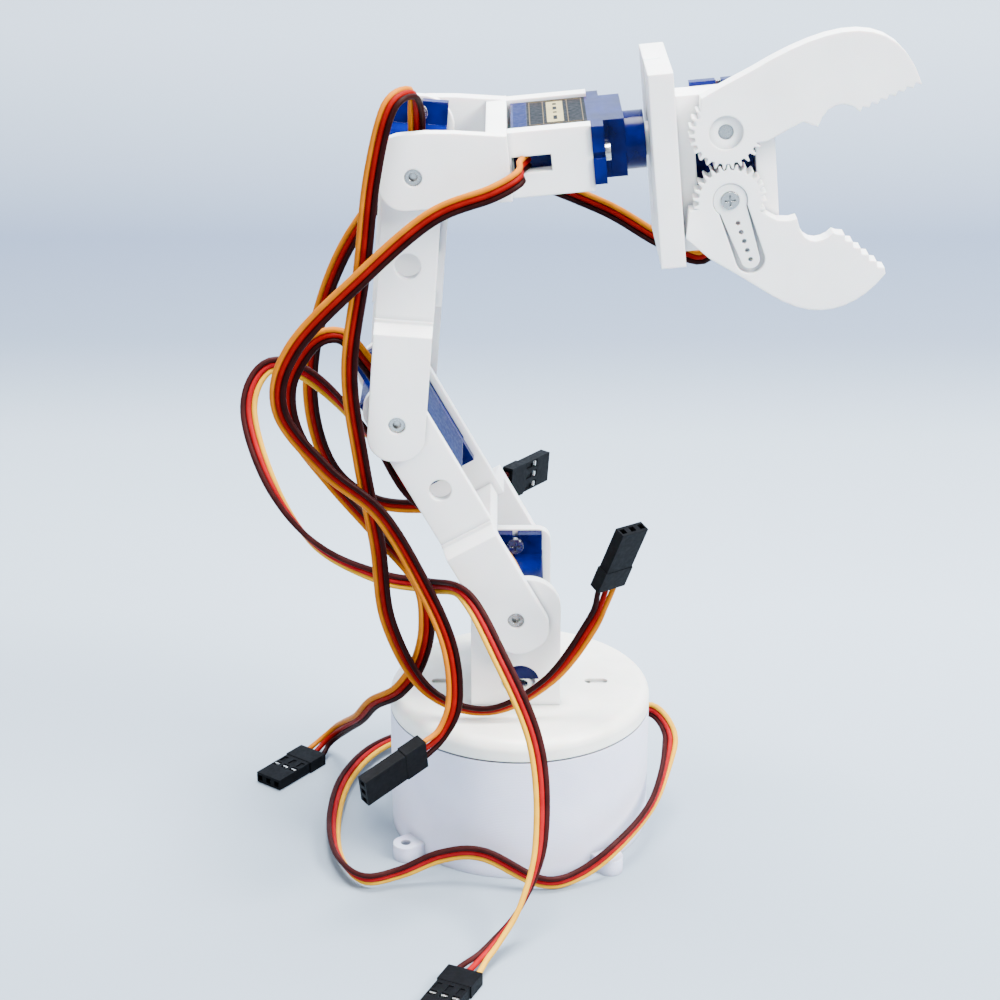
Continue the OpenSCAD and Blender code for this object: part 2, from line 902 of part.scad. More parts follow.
// A plug's Z runs from the lead's end to its own open end, and its flat faces look along Y
module plug(route, along, spin = 0) {
    pitch = 2.54;
    pin_room = 1.2;
    start = route[len(route) - 1];
    color("dimgray")
        translate(start + 0.05 * unit(along))
            rotate([0, acos(unit(along).z), atan2(along.y, along.x)])
                rotate([0, 0, spin])
                    difference() {
                        translate([-plug_t / 2, -plug_w / 2, 0])
                            cube([plug_t, plug_w, plug_l]);
                        for (y = [-pitch, 0, pitch])
                            translate([-pin_room / 2, y - pin_room / 2, plug_l - 6])
                                cube([pin_room, pin_room, 7]);
                    }
}

module floor_plugs() {
    plug(base_route, base_plug_way);
    plug(shoulder_route, shoulder_plug_way);
    plug(elbow_route, elbow_plug_way);
}

base_housing();
base_screws();
servo_case("base");  // base_servo_case
servo_cover("base");  // base_servo_cover
servo_motor("base");  // base_servo_motor
servo_shaft("base");  // base_servo_shaft
horn("base", [0, 180]);  // base_horn
turntable();
near_upright();
far_upright();
turntable_screws();
servo_case("shoulder");  // shoulder_servo_case
servo_cover("shoulder");  // shoulder_servo_cover
servo_motor("shoulder");  // shoulder_servo_motor
servo_shaft("shoulder");  // shoulder_servo_shaft
horn("shoulder", [horn_turn("shoulder", lower_lean)]);  // shoulder_horn
lower_arm();
pivot_pin(shoulder);  // shoulder_pin
lower_arm_screws();
servo_case("elbow");  // elbow_servo_case
servo_cover("elbow");  // elbow_servo_cover
servo_motor("elbow");  // elbow_servo_motor
servo_shaft("elbow");  // elbow_servo_shaft
horn("elbow", [horn_turn("elbow", upper_lean)]);  // elbow_horn
upper_arm();
pivot_pin(elbow);  // elbow_pin
upper_arm_screws();
servo_case("wrist");  // wrist_servo_case
servo_cover("wrist");  // wrist_servo_cover
servo_motor("wrist");  // wrist_servo_motor
servo_shaft("wrist");  // wrist_servo_shaft
horn("wrist", [wrist_horn_turn]);  // wrist_horn
forearm();
pivot_pin(wrist);  // wrist_pin
forearm_screws();
servo_case("roll");  // roll_servo_case
servo_cover("roll");  // roll_servo_cover
servo_motor("roll");  // roll_servo_motor
servo_shaft("roll");  // roll_servo_shaft
horn("roll", [90, 270]);  // roll_horn
gripper_bracket();
gripper_screws();
servo_case("grip");  // grip_servo_case
servo_cover("grip");  // grip_servo_cover
servo_motor("grip");  // grip_servo_motor
servo_shaft("grip");  // grip_servo_shaft
horn("grip", [grip_horn_turn]);  // grip_horn
drive_jaw();
drive_jaw_screw();
driven_jaw();
lead(base_route, base_plug_way);  // base_lead
lead(shoulder_route, shoulder_plug_way);  // shoulder_lead
lead(elbow_route, elbow_plug_way);  // elbow_lead
lead(wrist_route, wrist_plug_way);  // wrist_lead
lead(roll_route, roll_plug_way);  // roll_lead
lead(grip_route, grip_plug_way);  // grip_lead
floor_plugs();
plug(wrist_route, wrist_plug_way, 10);  // wrist_plug
plug(roll_route, roll_plug_way, 57);  // roll_plug
plug(grip_route, grip_plug_way, 90);  // grip_plug
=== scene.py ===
"""Looks for the desktop robot arm: materials, three-wire leads, plugs and servo labels."""
import json
import math

import bmesh
import bpy
from mathutils import Matrix, Vector


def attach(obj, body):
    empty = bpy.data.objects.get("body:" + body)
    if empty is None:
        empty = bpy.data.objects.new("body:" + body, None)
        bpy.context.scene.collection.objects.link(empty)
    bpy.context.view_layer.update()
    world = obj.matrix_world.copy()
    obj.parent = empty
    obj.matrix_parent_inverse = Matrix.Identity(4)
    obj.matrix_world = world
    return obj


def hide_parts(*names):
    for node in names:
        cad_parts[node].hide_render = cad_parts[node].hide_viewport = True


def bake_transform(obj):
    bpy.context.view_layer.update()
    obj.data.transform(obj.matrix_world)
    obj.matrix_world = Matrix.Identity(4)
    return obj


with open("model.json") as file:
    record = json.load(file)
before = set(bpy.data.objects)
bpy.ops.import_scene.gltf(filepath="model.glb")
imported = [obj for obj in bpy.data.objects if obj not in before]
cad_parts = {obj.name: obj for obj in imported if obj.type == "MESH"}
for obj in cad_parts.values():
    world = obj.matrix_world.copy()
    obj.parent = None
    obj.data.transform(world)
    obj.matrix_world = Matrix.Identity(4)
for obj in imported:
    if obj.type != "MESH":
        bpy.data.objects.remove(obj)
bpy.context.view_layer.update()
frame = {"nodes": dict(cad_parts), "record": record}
MM = 0.001

# Camera -----------------------------------------------------------------------------------------
CAMERA_AT = (-4.4, -450.0, 264.4)
CAMERA_DOWN = 22.57
CAMERA_LENS = 81.0


def mm(*point):
    return Vector(point) * MM


def make_camera():
    data = bpy.data.cameras.new("camera")
    data.lens = CAMERA_LENS
    data.clip_start = 0.01
    camera = bpy.data.objects.new("camera", data)
    camera.location = mm(*CAMERA_AT)
    camera.rotation_euler = (math.radians(90 - CAMERA_DOWN), 0, 0)
    bpy.context.scene.collection.objects.link(camera)
    bpy.context.scene.camera = camera


# Materials --------------------------------------------------------------------------------------
def rgb(hex_code):
    """Linear colour from a screen colour such as 'c0ffee'."""
    parts = [int(hex_code[i:i + 2], 16) / 255 for i in (0, 2, 4)]
    return [c / 12.92 if c <= 0.04045 else ((c + 0.055) / 1.055) ** 2.4 for c in parts] + [1.0]


class Paint:
    """A node material with a Principled shader, and short calls for the nodes that feed it."""

    def __init__(self, name, colour=None, **inputs):
        self.material = bpy.data.materials.new(name)
        self.material.use_nodes = True
        self.tree = self.material.node_tree
        self.shader = self.tree.nodes["Principled BSDF"]
        if colour:
            self.shader.inputs["Base Color"].default_value = rgb(colour)
        self.normal = None
        for key, value in inputs.items():
            self.shader.inputs[key.replace("_", " ")].default_value = value

    def node(self, kind, **values):
        made = self.tree.nodes.new(kind)
        for key, value in values.items():
            if key in made.inputs:
                made.inputs[key].default_value = value
            else:
                setattr(made, key, value)
        return made

    def link(self, source, target):
        self.tree.links.new(source, target)

    def place(self, scale=(1, 1, 1)):
        """Object coordinates in millimetres, stretched by scale."""
        coordinates = self.node("ShaderNodeTexCoord")
        mapping = self.node("ShaderNodeMapping")
        mapping.inputs["Scale"].default_value = [1000 * s for s in scale]
        self.link(coordinates.outputs["Object"], mapping.inputs["Vector"])
        return mapping.outputs["Vector"]

    def noise(self, scale, stretch=(1, 1, 1), detail=3.0):
        made = self.node("ShaderNodeTexNoise", Scale=scale, Detail=detail)
        self.link(self.place(stretch), made.inputs["Vector"])
        return made.outputs["Fac"]

    def ramp(self, source, low, high):
        """Spreads a noise's middle values over low to high."""
        made = self.node("ShaderNodeMapRange")
        made.inputs["To Min"].default_value = low
        made.inputs["To Max"].default_value = high
        made.inputs["From Min"].default_value = 0.3
        made.inputs["From Max"].default_value = 0.7
        self.link(source, made.inputs["Value"])
        return made.outputs["Result"]

    def mix(self, factor, first, second):
        made = self.node("ShaderNodeMix", data_type="RGBA")
        self.link(factor, made.inputs["Factor"])
        made.inputs[6].default_value = rgb(first)
        made.inputs[7].default_value = rgb(second)
        return made.outputs[2]

    def plain(self, colour):
        made = self.node("ShaderNodeRGB")
        made.outputs["Color"].default_value = rgb(colour)
        return made.outputs["Color"]

    def patches(self, size, first, second):
        """A colour that drifts between two colours in soft patches."""
        return self.mix(self.ramp(self.noise(size), 0, 1), first, second)

    def feed(self, name, source):
        self.link(source, self.shader.inputs[name])

    def round_edges(self, radius):
        """Softens the shading of sharp edges over a radius in millimetres."""
        made = self.node("ShaderNodeBevel", samples=4)
        made.inputs["Radius"].default_value = radius * MM
        self.normal = made.outputs["Normal"]
        self.feed("Normal", self.normal)

    def crevice_shade(self, source, reach, dark):
        """Colours the surface with painted shade, darker where surfaces meet within a reach in
        millimetres.
        """
        made = self.node("ShaderNodeAmbientOcclusion", samples=6, Distance=reach * MM)
        blend = self.node("ShaderNodeMix", data_type="RGBA")
        self.link(made.outputs["AO"], blend.inputs["Factor"])
        # The colour of the painted shade in creases and between parts.
        blend.inputs[6].default_value = rgb(dark)
        self.link(source, blend.inputs[7])
        self.feed("Base Color", blend.outputs[2])

    def bump(self, source, strength, depth):
        """A bump of the given depth in millimetres."""
        made = self.node("ShaderNodeBump", Strength=strength, Distance=depth * MM)
        self.link(source, made.inputs["Height"])
        if self.normal:
            self.link(self.normal, made.inputs["Normal"])
        self.normal = made.outputs["Normal"]
        self.feed("Normal", self.normal)


def printed(name, light, shade, layers, roughness, reach, dark):
    """White printed plastic with fine layer lines, faint patches, and painted shade in its creases
    and between parts.
    """
    paint = Paint(name, Subsurface_Weight=0.25, Subsurface_Scale=0.0012)
    paint.round_edges(0.5)
    # Painted shade: the colour goes towards dark where surfaces meet within reach millimetres.
    paint.crevice_shade(paint.patches(0.09, light, shade), reach, dark)
    paint.feed("Roughness", paint.ramp(paint.noise(0.3), roughness - 0.07, roughness + 0.1))
    lines = paint.node("ShaderNodeTexWave", Scale=0.8, Distortion=0.6, Detail=2.0)
    lines.bands_direction = "Z"
    paint.link(paint.place(), lines.inputs["Vector"])
    paint.bump(lines.outputs["Fac"], layers, 0.04)
    paint.bump(paint.noise(1.6), 0.12, 0.03)
    return paint.material


def disc_print(name):
    """The turntable's warm white print, with its rings of infill showing faintly on top, and
    painted shade where surfaces meet.
    """
    paint = Paint(name, Roughness=0.36, Subsurface_Weight=0.3, Subsurface_Scale=0.0015)
    paint.round_edges(0.4)
    # Painted shade where surfaces meet, such as the gap under the disc.
    paint.crevice_shade(paint.patches(0.12, "f3f2ec", "e6e5dd"), 2.5, "77797d")
    rings = paint.node("ShaderNodeTexWave", Scale=0.35, Distortion=0.8, Detail=1.5)
    rings.wave_type = "RINGS"
    rings.rings_direction = "Z"
    paint.link(paint.place(), rings.inputs["Vector"])
    paint.bump(rings.outputs["Fac"], 0.25, 0.03)
    paint.bump(paint.noise(0.8, (1, 0.3, 1)), 0.15, 0.05)
    return paint.material


def servo_blue(name):
    """Clear blue plastic: glossy, and some light passes through its thin walls."""
    paint = Paint(name, IOR=1.25, Transmission_Weight=0.35, Specular_IOR_Level=0.2)
    paint.round_edges(0.35)
    paint.feed("Base Color", paint.patches(0.16, "01033a", "02126c"))
    paint.feed("Roughness", paint.ramp(paint.noise(0.5), 0.12, 0.26))
    paint.bump(paint.noise(0.5), 0.2, 0.05)
    return paint.material


def nylon(name, colour):
    paint = Paint(name, colour, Roughness=0.38, Subsurface_Weight=0.35, Subsurface_Scale=0.001)
    paint.round_edges(0.25)
    paint.bump(paint.noise(2.0), 0.15, 0.02)
    return paint.material


def metal(name, colour, roughness, scratch=(1, 1, 1), groove_shade_reach=0):
    """Bare metal. Grooves narrower than the given millimetres get near-black painted shade."""
    paint = Paint(name, colour, Metallic=1.0)
    if groove_shade_reach:
        # Painted shade in narrow grooves, such as a screw's cross recess.
        paint.crevice_shade(paint.plain(colour), groove_shade_reach, "101010")
    paint.round_edges(0.12)
    grain = paint.noise(1.5, scratch)
    paint.feed("Roughness", paint.ramp(grain, roughness - 0.06, roughness + 0.12))
    paint.bump(paint.noise(3.0, scratch), 0.2, 0.01)
    return paint.material


def moulded(name, colour, shade, roughness):
    """Moulded plastic or soft wire jacket, with a slight change of tone along it."""
    paint = Paint(name, IOR=1.2, Specular_IOR_Level=0.2)
    paint.feed("Base Color", paint.patches(0.35, colour, shade))
    paint.feed("Roughness", paint.ramp(paint.noise(1.2), roughness - 0.06, roughness + 0.1))
    paint.bump(paint.noise(4.0), 0.12, 0.015)
    return paint.material


MATERIALS = {
    # The last two numbers of each print are the reach in millimetres and the colour of its painted
    # shade where surfaces meet.
    "print_white": printed("print_white", "f1f1f0", "e9e9e9", 0.18, 0.42, 1.2, "8d929c"),
    "print_base": printed("print_base", "d9dcf0", "ced2e9", 0.6, 0.48, 2.5, "565b68"),
    "print_disc": disc_print("print_disc"),
    "servo_blue": servo_blue("servo_blue"),
    "shaft_nylon": nylon("shaft_nylon", "efeee6"),
    "horn_nylon": nylon("horn_nylon", "e2e3e2"),
    "motor_steel": metal("motor_steel", "8c8c8c", 0.34, (1, 1, 8)),
    # The screw's cross recess gets painted shade.
    "steel_screw": metal("steel_screw", "bcbcba", 0.22, groove_shade_reach=0.6),
}
JACKETS = {
    "warm": [moulded("jacket_orange", "9c5600", "a86206", 0.42),
             moulded("jacket_red", "640402", "740804", 0.42),
             moulded("jacket_brown", "160303", "200606", 0.42)],
    "pale": [moulded("jacket_yellow", "c08a14", "c89622", 0.42),
             moulded("jacket_rose", "7e0a10", "8c1218", 0.42),
             moulded("jacket_umber", "280c0c", "341313", 0.42)],
}
LABEL = [moulded("label_blue", "0e1740", "131d4a", 0.4),
         moulded("label_dark", "0a0b0e", "0f1115", 0.4),
         metal("label_gold", "7c6430", 0.4),
         moulded("label_cream", "9a906a", "8c835e", 0.5)]
BLUE_INK, DARK_INK, GOLD_INK, CREAM_INK = range(4)
PLUG_BLACK = moulded("plug_black", "050608", "090a0d", 0.5)
CONTACT = metal("plug_contact", "d8d8d4", 0.25)


def paint_cad():
    for entry in frame["record"]["subparts"]:
        # Leads and plugs have no paint here, because detailed pieces replace them.
        material = MATERIALS.get(entry["material_slot"])
        if material is None:
            continue
        mesh = frame["nodes"][entry["node"]].data
        mesh.materials.clear()
        mesh.materials.append(material)


# Leads ------------------------------------------------------------------------------------------
WIRE_R = 0.62
WIRE_PITCH = 1.2
PLUG_PITCH = 2.3
FAN = 7.0
STEP = 1.3
FINE_STEPS = 24
FOLLOW_VIEW = 0.6
SIDES = 10

# Each route repeats the CAD lead's points, in millimetres. The fourth number turns the ribbon about
# its own line, in degrees: at 0 its flat face looks along Y. Each stretch names the two bodies at
# its ends, and the point where it ends; a stretch whose two bodies are the same is attached to that
# body. A plug gives the CAD node that it replaces, its body, the way it points, and the way its
# windows face.
LEADS = {
    "base_lead": {
        "jackets": "pale", "order": -1,
        "plug": ("floor_plugs", "base", (1, 0.1, 0), (0, 0, 1)),
        "route": [
            (5.9, 0, 5, 90), (13, 0, 5, 60), (18, 6, 10, 40), (21.5, 10, 18, 20),
            (26.5, 12.4, 19, 0),
            (31, 13.4, 19, -10), (34, 7, 18, -20), (34, 0, 16, -30), (29.5, -15, 11, -30),
            (21, -27, 7, -20), (12, -32, 2.6, -20), (4, -34, 2.6, -20), (-8, -32, 8, -10),
            (-17, -31, 7, -10), (-26, -32, 3.5, -20), (-34, -33, 2.6, -20), (-40, -23, 2.5, -40),
            (-42, -6, 2.5, -60), (-40, 12, 2.5, -70), (-33, 27, 2.3, -80), (-20, 36.5, 2, -88),
            (-10, 38, 1.5, -90)],
        "stretches": [("base", "base", 21)],
    },
    "shoulder_lead": {
        "jackets": "pale", "order": 1,
        "plug": ("floor_plugs", "base", (-0.42, -0.9, 0), (0, 0, 1)),
        "route": [
            (-1, -6, 61.4, 0), (-4, -6, 67, 0), (-11, -5, 73, 0), (-18, -4, 76.5, 0),
            (-25, -3, 82, 60), (-33, -2, 94, 120), (-44, -2, 106, 170), (-53, -3, 109, 180),
            (-57, -8, 101, 180), (-52, -14, 86, 120), (-43, -13, 72, 50), (-30, -11, 64, 10),
            (-20, -13, 63, 0), (-12, -22, 65, 0), (-5, -31, 56, 0), (3, -38, 38, 0),
            (4, -46, 20, -30), (0, -53, 9, -70), (-5.5, -59, 3.5, -90), (-11.3, -67, 1.5, -90)],
        "stretches": [("turntable", "lower_arm", 5), ("lower_arm", "turntable", 14),
                      ("turntable", "base", 19)],
    },
    "elbow_lead": {
        "jackets": "warm", "order": 1,
        "plug": ("floor_plugs", "base", (-0.6, -0.8, 0), (0, 0, 1)),
        "route": [
            (-28.6, -6, 104.8, 0), (-32, -7, 111, 0), (-37, -10, 118, 0), (-43, -12, 117, 0),
            (-48, -12, 108, 20), (-47, -11, 97, 20), (-40, -11, 86, 30), (-30, -14, 75, 30),
            (-21.5, -18, 66, 20), (-20, -18, 56, 0), (-22, -16, 46, 0), (-26.5, -13.5, 38, 0),
            (-32.5, -6, 31, 0), (-36.5, 6, 21, 0), (-40.5, 18, 12.5, 20), (-43.5, 26, 6.5, 50),
            (-46.5, 27.3, 3, 75), (-49, 24, 1.5, 90)],
        "stretches": [("lower_arm", "turntable", 10), ("turntable", "base", 17)],
    },
    "wrist_lead": {
        "jackets": "warm", "order": 1,
        "plug": ("wrist_plug", "turntable", (0.29, -0.26, 0.92), (-0.65, 0.76, 0)),
        "route": [
            (-21.1, -6, 157.9, 180), (-21, -8.5, 164, 170), (-21.6, -13, 169, 100),
            (-26, -17.5, 167, 25),
            (-29.6, -18, 153, 10), (-32, -18, 134, 10), (-35, -18, 113, 20), (-33, -18, 93, 20),
            (-30, -19, 75, 20), (-28, -19, 57, 20), (-20, -19, 41, 30), (-7, -19, 36, 40),
            (6, -18.5, 43, 30), (15, -18, 56, 0), (18.2, -19.5, 66, 0)],
        "stretches": [("upper_arm", "lower_arm", 7), ("lower_arm", "turntable", 14)],
    },
    "roll_lead": {
        "jackets": "warm", "order": 1,
        "plug": ("roll_plug", "turntable", (-0.72, -0.58, -0.25), (0, 0.94, 0.34)),
        "route": [
            (1.3, -5.9, 154, 0), (-0.4, -12, 153.8, 0), (-0.6, -16.8, 153, 0),
            (-6, -19.5, 150.5, 0),
            (-18, -21, 146, 0), (-32, -22, 134, 0), (-46, -22, 119, 10), (-49, -22, 106, 20),
            (-40, -22, 93, 20), (-29, -22, 83, 20), (-20, -24, 67, 10), (-15, -27, 55, 0),
            (-14, -30, 44, 0), (-16.6, -32, 37.6, 0), (-20.5, -35.2, 35.2, 0)],
        "stretches": [("forearm", "upper_arm", 6), ("upper_arm", "lower_arm", 9),
                      ("lower_arm", "turntable", 14)],
    },
    "grip_lead": {
        "jackets": "warm", "order": 1,
        "plug": ("grip_plug", "lower_arm", (0.56, 0.83, -0.04), (0, -1, 0)),
        "route": [
            (42, 14.7, 141.2, 0), (42, 16, 133, 0), (39, 20, 126, 0), (30, 24, 129, 0),
            (17, 26, 136, 0), (-4, 27, 143, 0), (-24, 26, 142, 0), (-36, 26, 130, 10),
            (-44, 26, 112, 20), (-47, 26, 92, 20), (-43, 26, 75, 20), (-33, 25.5, 66.5, 20),
            (-20, 25, 65.5, 10), (-10, 25.5, 67, 0), (-5, 28.2, 68.4, 0), (-2.9, 31, 68.6, 0)],
        "stretches": [("gripper", "forearm", 4), ("forearm", "upper_arm", 7),
                      ("upper_arm", "lower_arm", 15)],
    },
}


def between(a, b, c, d, t):
    """Catmull-Rom point between b and c; the values may be vectors or numbers."""
    return 0.5 * (2 * b + (c - a) * t + (2 * a - 5 * b + 4 * c - d) * t * t
                  + (3 * b - a - 3 * c + d) * t * t * t)


def smooth_line(route):
    """Points, turns and route positions at even steps along the smooth curve through a route."""
    points = [Vector(p[:3]) for p in route]
    turns = [p[3] for p in route]
    last = len(route) - 1
    fine = []
    for i in range(last):
        for k in range(FINE_STEPS):
            t = k / FINE_STEPS
            ends = [points[max(i - 1, 0)], points[i], points[i + 1], points[min(i + 2, last)]]
            fine.append((between(*ends, t), turns[i] + (turns[i + 1] - turns[i]) * t, i + t))
    fine.append((points[last], turns[last], float(last)))
    lengths = [0.0]
    for a, b in zip(fine, fine[1:]):
        lengths.append(lengths[-1] + (b[0] - a[0]).length)
    count = round(lengths[-1] / STEP)
    line, k = [], 0
    for n in range(count + 1):
        s = lengths[-1] * n / count
        while k < len(fine) - 2 and lengths[k + 1] < s:
            k += 1
        t = (s - lengths[k]) / max(lengths[k + 1] - lengths[k], 1e-9)
        a, b = fine[k], fine[k + 1]
        line.append((a[0].lerp(b[0], t), a[1] + (b[1] - a[1]) * t, a[2] + (b[2] - a[2]) * t))
    return line


def ribbon_sides(line, across):
    """The ribbon's width direction at each point, square to its line. It ends along across."""
    sides = []
    view = Vector((0, 1, 0))
    previous = None
    for i, (point, turn, _) in enumerate(line):
        along = (line[min(i + 1, len(line) - 1)][0] - line[max(i - 1, 0)][0]).normalized()
        side = along.cross(view)
        weight = min(side.length / 0.5, 1.0)
        if previous is None:
            previous = side if side.length > 0.05 else Vector((0, 0, 1))
        carried = previous - along * previous.dot(along)
        carried.normalize()
        if side.length > 1e-4:
            side.normalize()
            side = side if side.dot(carried) > -0.3 else -side
            side = carried.lerp(side, FOLLOW_VIEW * weight * weight)
        else:
            side = carried
        side = (side - along * side.dot(along)).normalized()
        previous = side
        sides.append((Matrix.Rotation(math.radians(turn), 3, along) @ side, along))
    end_count = min(len(sides) - 1, round(2 * FAN / STEP))
    last_along = sides[-1][1]
    target = (across - last_along * across.dot(last_along)).normalized()
    if target.dot(sides[-end_count][0]) < 0:
        target = -target
    for k in range(end_count + 1):
        i = len(sides) - 1 - end_count + k
        t = k / end_count
        side, along = sides[i]
        side = side.lerp(target, t * t * (3 - 2 * t))
        sides[i] = ((side - along * side.dot(along)).normalized(), along)
    return sides


def sweep_wires(name, line, sides, spreads, jackets):
    """Three round wires side by side, as one mesh in metres."""
    mesh = bpy.data.meshes.new(name)
    shape = bmesh.new()
    normals = []
    for wire in range(3):
        rings = []
        for (point, _, _), (side, along), spread in zip(line, sides, spreads):
            up = side.cross(along)
            centre = point + side * (wire - 1) * spread
            ways = [math.cos(math.tau * k / SIDES) * side + math.sin(math.tau * k / SIDES) * up
                    for k in range(SIDES)]
            rings.append([shape.verts.new((centre + WIRE_R * way) * MM) for way in ways])
            normals.extend(ways)
        for a, b in zip(rings, rings[1:]):
            for k in range(SIDES):
                face = shape.faces.new((a[k], a[(k + 1) % SIDES], b[(k + 1) % SIDES], b[k]))
                face.material_index = wire
                face.smooth = True
        for cap in (rings[0], rings[-1][::-1]):
            end = shape.faces.new(cap)
            end.material_index = wire
            end.smooth = True
    bmesh.ops.recalc_face_normals(shape, faces=shape.faces)
    shape.to_mesh(mesh)
    shape.free()
    mesh.normals_split_custom_set_from_vertices(normals)
    for jacket in jackets:
        mesh.materials.append(jacket)
    piece = bpy.data.objects.new(name, mesh)
    bpy.context.scene.collection.objects.link(piece)
    return piece


def line_length(line):
    return sum((b[0] - a[0]).length for a, b in zip(line, line[1:]))


def make_lead(name, facts, plug):
    line = smooth_line(facts["route"])
    across = plug["across"]
    sides = ribbon_sides(line, across)
    total = line_length(line)
    spreads = []
    for i in range(len(line)):
        left = total * (1 - i / (len(line) - 1))
        t = max(0.0, 1 - left / FAN)
        spreads.append(WIRE_PITCH + (PLUG_PITCH - WIRE_PITCH) * t * t * (3 - 2 * t))
    jackets = JACKETS[facts["jackets"]][::facts["order"]]
    first, pieces = 0, []
    for number, (a, b, end) in enumerate(facts["stretches"]):
        last = max(i for i, p in enumerate(line) if p[2] <= end + 1e-6)
        part = slice(first, last + 1)
        piece = sweep_wires(f"{name}_wires_{number + 1}", line[part], sides[part], spreads[part],
                            jackets)
        if a == b:
            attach(piece, a)
        else:
            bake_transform(piece)
        pieces.append(piece)
        first = last
    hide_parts(name)


# Plugs ------------------------------------------------------------------------------------------
PLUG_L = 16.0
PLUG_W = 7.7
PLUG_T = 2.8
PIN_PITCH = 2.54
COLLAR_L = 5.4


def block(shape, low, high):
    """Adds a box to a bmesh, in millimetres."""
    size = Vector(high) - Vector(low)
    middle = (Vector(high) + Vector(low)) / 2
    place = Matrix.Translation(middle) @ Matrix.Diagonal((*size, 1))
    return bmesh.ops.create_cube(shape, size=1, matrix=place)


def to_object(name, shape, material):
    mesh = bpy.data.meshes.new(name)
    shape.to_mesh(mesh)
    shape.free()
    mesh.materials.append(material)
    made = bpy.data.objects.new(name, mesh)
    bpy.context.scene.collection.objects.link(made)
    return made


def settle(made):
    """Applies an object's modifiers to its mesh."""
    bpy.context.view_layer.update()
    graph = bpy.context.evaluated_depsgraph_get()
    mesh = bpy.data.meshes.new_from_object(made.evaluated_get(graph))
    made.modifiers.clear()
    made.data = mesh


def make_plug_body(name):
    """Plug body along +Z from its lead end, with its wide face looking along -Y."""
    shape = bmesh.new()
    block(shape, (-PLUG_W / 2, -PLUG_T / 2, 0), (PLUG_W / 2, PLUG_T / 2, COLLAR_L))
    body = to_object(name, shape, PLUG_BLACK)
    shape = bmesh.new()
    block(shape, (-PLUG_W / 2 + 0.25, -PLUG_T / 2 + 0.15, 5),
          (PLUG_W / 2 - 0.25, PLUG_T / 2 - 0.1, PLUG_L))
    front = to_object(name + "_front", shape, PLUG_BLACK)
    shape = bmesh.new()
    face = -PLUG_T / 2
    for x in (-PIN_PITCH, 0, PIN_PITCH):
        block(shape, (x - 0.8, face - 1, 9.2), (x + 0.8, face + 0.95, 10.7))
        block(shape, (x - 0.55, face - 1, 6.4), (x + 0.55, face + 0.45, 8.6))
        block(shape, (x - 0.65, -0.6, PLUG_L - 5), (x + 0.65, 0.7, PLUG_L + 1))
        block(shape, (x - 0.75, -0.7, -1), (x + 0.75, 0.7, 1.6))
    holes = to_object(name + "_holes", shape, PLUG_BLACK)
    for operation, other in (("UNION", front), ("DIFFERENCE", holes)):
        modifier = body.modifiers.new(operation, "BOOLEAN")
        modifier.operation = operation
        modifier.object = other
        modifier.solver = "EXACT"
    edge = body.modifiers.new("edges", "BEVEL")
    edge.width = 0.16
    edge.segments = 2
    edge.limit_method = "ANGLE"
    settle(body)
    for spare in (front, holes):
        bpy.data.objects.remove(spare)
    return body


def make_contacts(name):
    """The three bright spring contacts that show in the plug's windows."""
    shape = bmesh.new()
    face = -PLUG_T / 2
    for x in (-PIN_PITCH, 0, PIN_PITCH):
        block(shape, (x - 0.6, face + 0.5, 9.25), (x + 0.6, face + 0.75, 9.9))
        block(shape, (x - 0.6, face + 0.15, 9.8), (x + 0.6, face + 0.75, 10.15))
    made = to_object(name, shape, CONTACT)
    edge = made.modifiers.new("edges", "BEVEL")
    edge.width = 0.06
    edge.segments = 2
    settle(made)
    return made


def make_plug(lead, facts):
    node, body, along, windows = facts["plug"]
    along = Vector(along).normalized()
    start = Vector(facts["route"][-1][:3]) + 0.05 * along
    across = along.cross(Vector(windows)).normalized()
    out = across.cross(along)
    place = Matrix((across, -out, along)).transposed().to_4x4()
    place = Matrix.Scale(MM, 4) @ Matrix.Translation(start) @ place
    piece = make_plug_body(lead.replace("lead", "plug_body"))
    contacts = make_contacts(lead.replace("lead", "plug_contacts"))
    for made in (piece, contacts):
        made.data.transform(place)
        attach(made, body)
    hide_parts(node)
    return {"piece": piece, "across": across}


def make_leads():
    for name, facts in LEADS.items():
        make_lead(name, facts, make_plug(name, facts))


# Labels -----------------------------------------------------------------------------------------
LEAN = {"shoulder": 0, "elbow": -29, "wrist": 4.5, "roll": -5.5, "grip": -5.5}
SHOULDER_AT = Vector((-1, 0, 55.5))
ELBOW_AT = Vector((-25.725, 0, 100.106))
WRIST_AT = Vector((-21.606, 0, 152.444))
SERVO_BODY = {"base": "base", "shoulder": "turntable", "elbow": "lower_arm", "wrist": "upper_arm",
              "roll": "forearm", "grip": "gripper"}


LABEL_X = (-5.6, 16.5)
LABEL_Z = (0.5, 15.4)
CASE_HALF = 5.9
FRAME_X = (-4.8, 15.54)
FRAME_Z = (3.8, 6.6, 11.6, 14.6)
FRAME_LINE = 0.16
BARS = ((-1.5, 3.4), (4.2, 1.2), (7.2, 2.6), (11.4, 1.6))


def turn(degrees, axis):
    return Matrix.Rotation(math.radians(degrees), 4, axis)


def servo_place(name):
    """A servo's own frame: Z along its shaft from the case's underside, X towards its motor."""
    if name == "base":
        return Matrix.Translation((0, 0, 1.8)) @ turn(180, "Z")
    pivot, local = {
        "shoulder": (SHOULDER_AT, Matrix.Translation((0, -9.2, 0)) @ turn(-90, "X")),
        "elbow": (SHOULDER_AT, Matrix.Translation((0, -9.2, 51)) @ turn(-90, "X")),
        "wrist": (ELBOW_AT, Matrix.Translation((0, -9.2, 52.5)) @ turn(-90, "X")),
        "roll": (WRIST_AT, Matrix.Translation((20, 0, 0)) @ turn(90, "Y")),
        "grip": (WRIST_AT, Matrix.Translation((62.3, 17.7, -11)) @ turn(90, "X")),
    }[name]
    return Matrix.Translation(pivot) @ turn(LEAN[name], "Y") @ local @ turn(90, "Z")


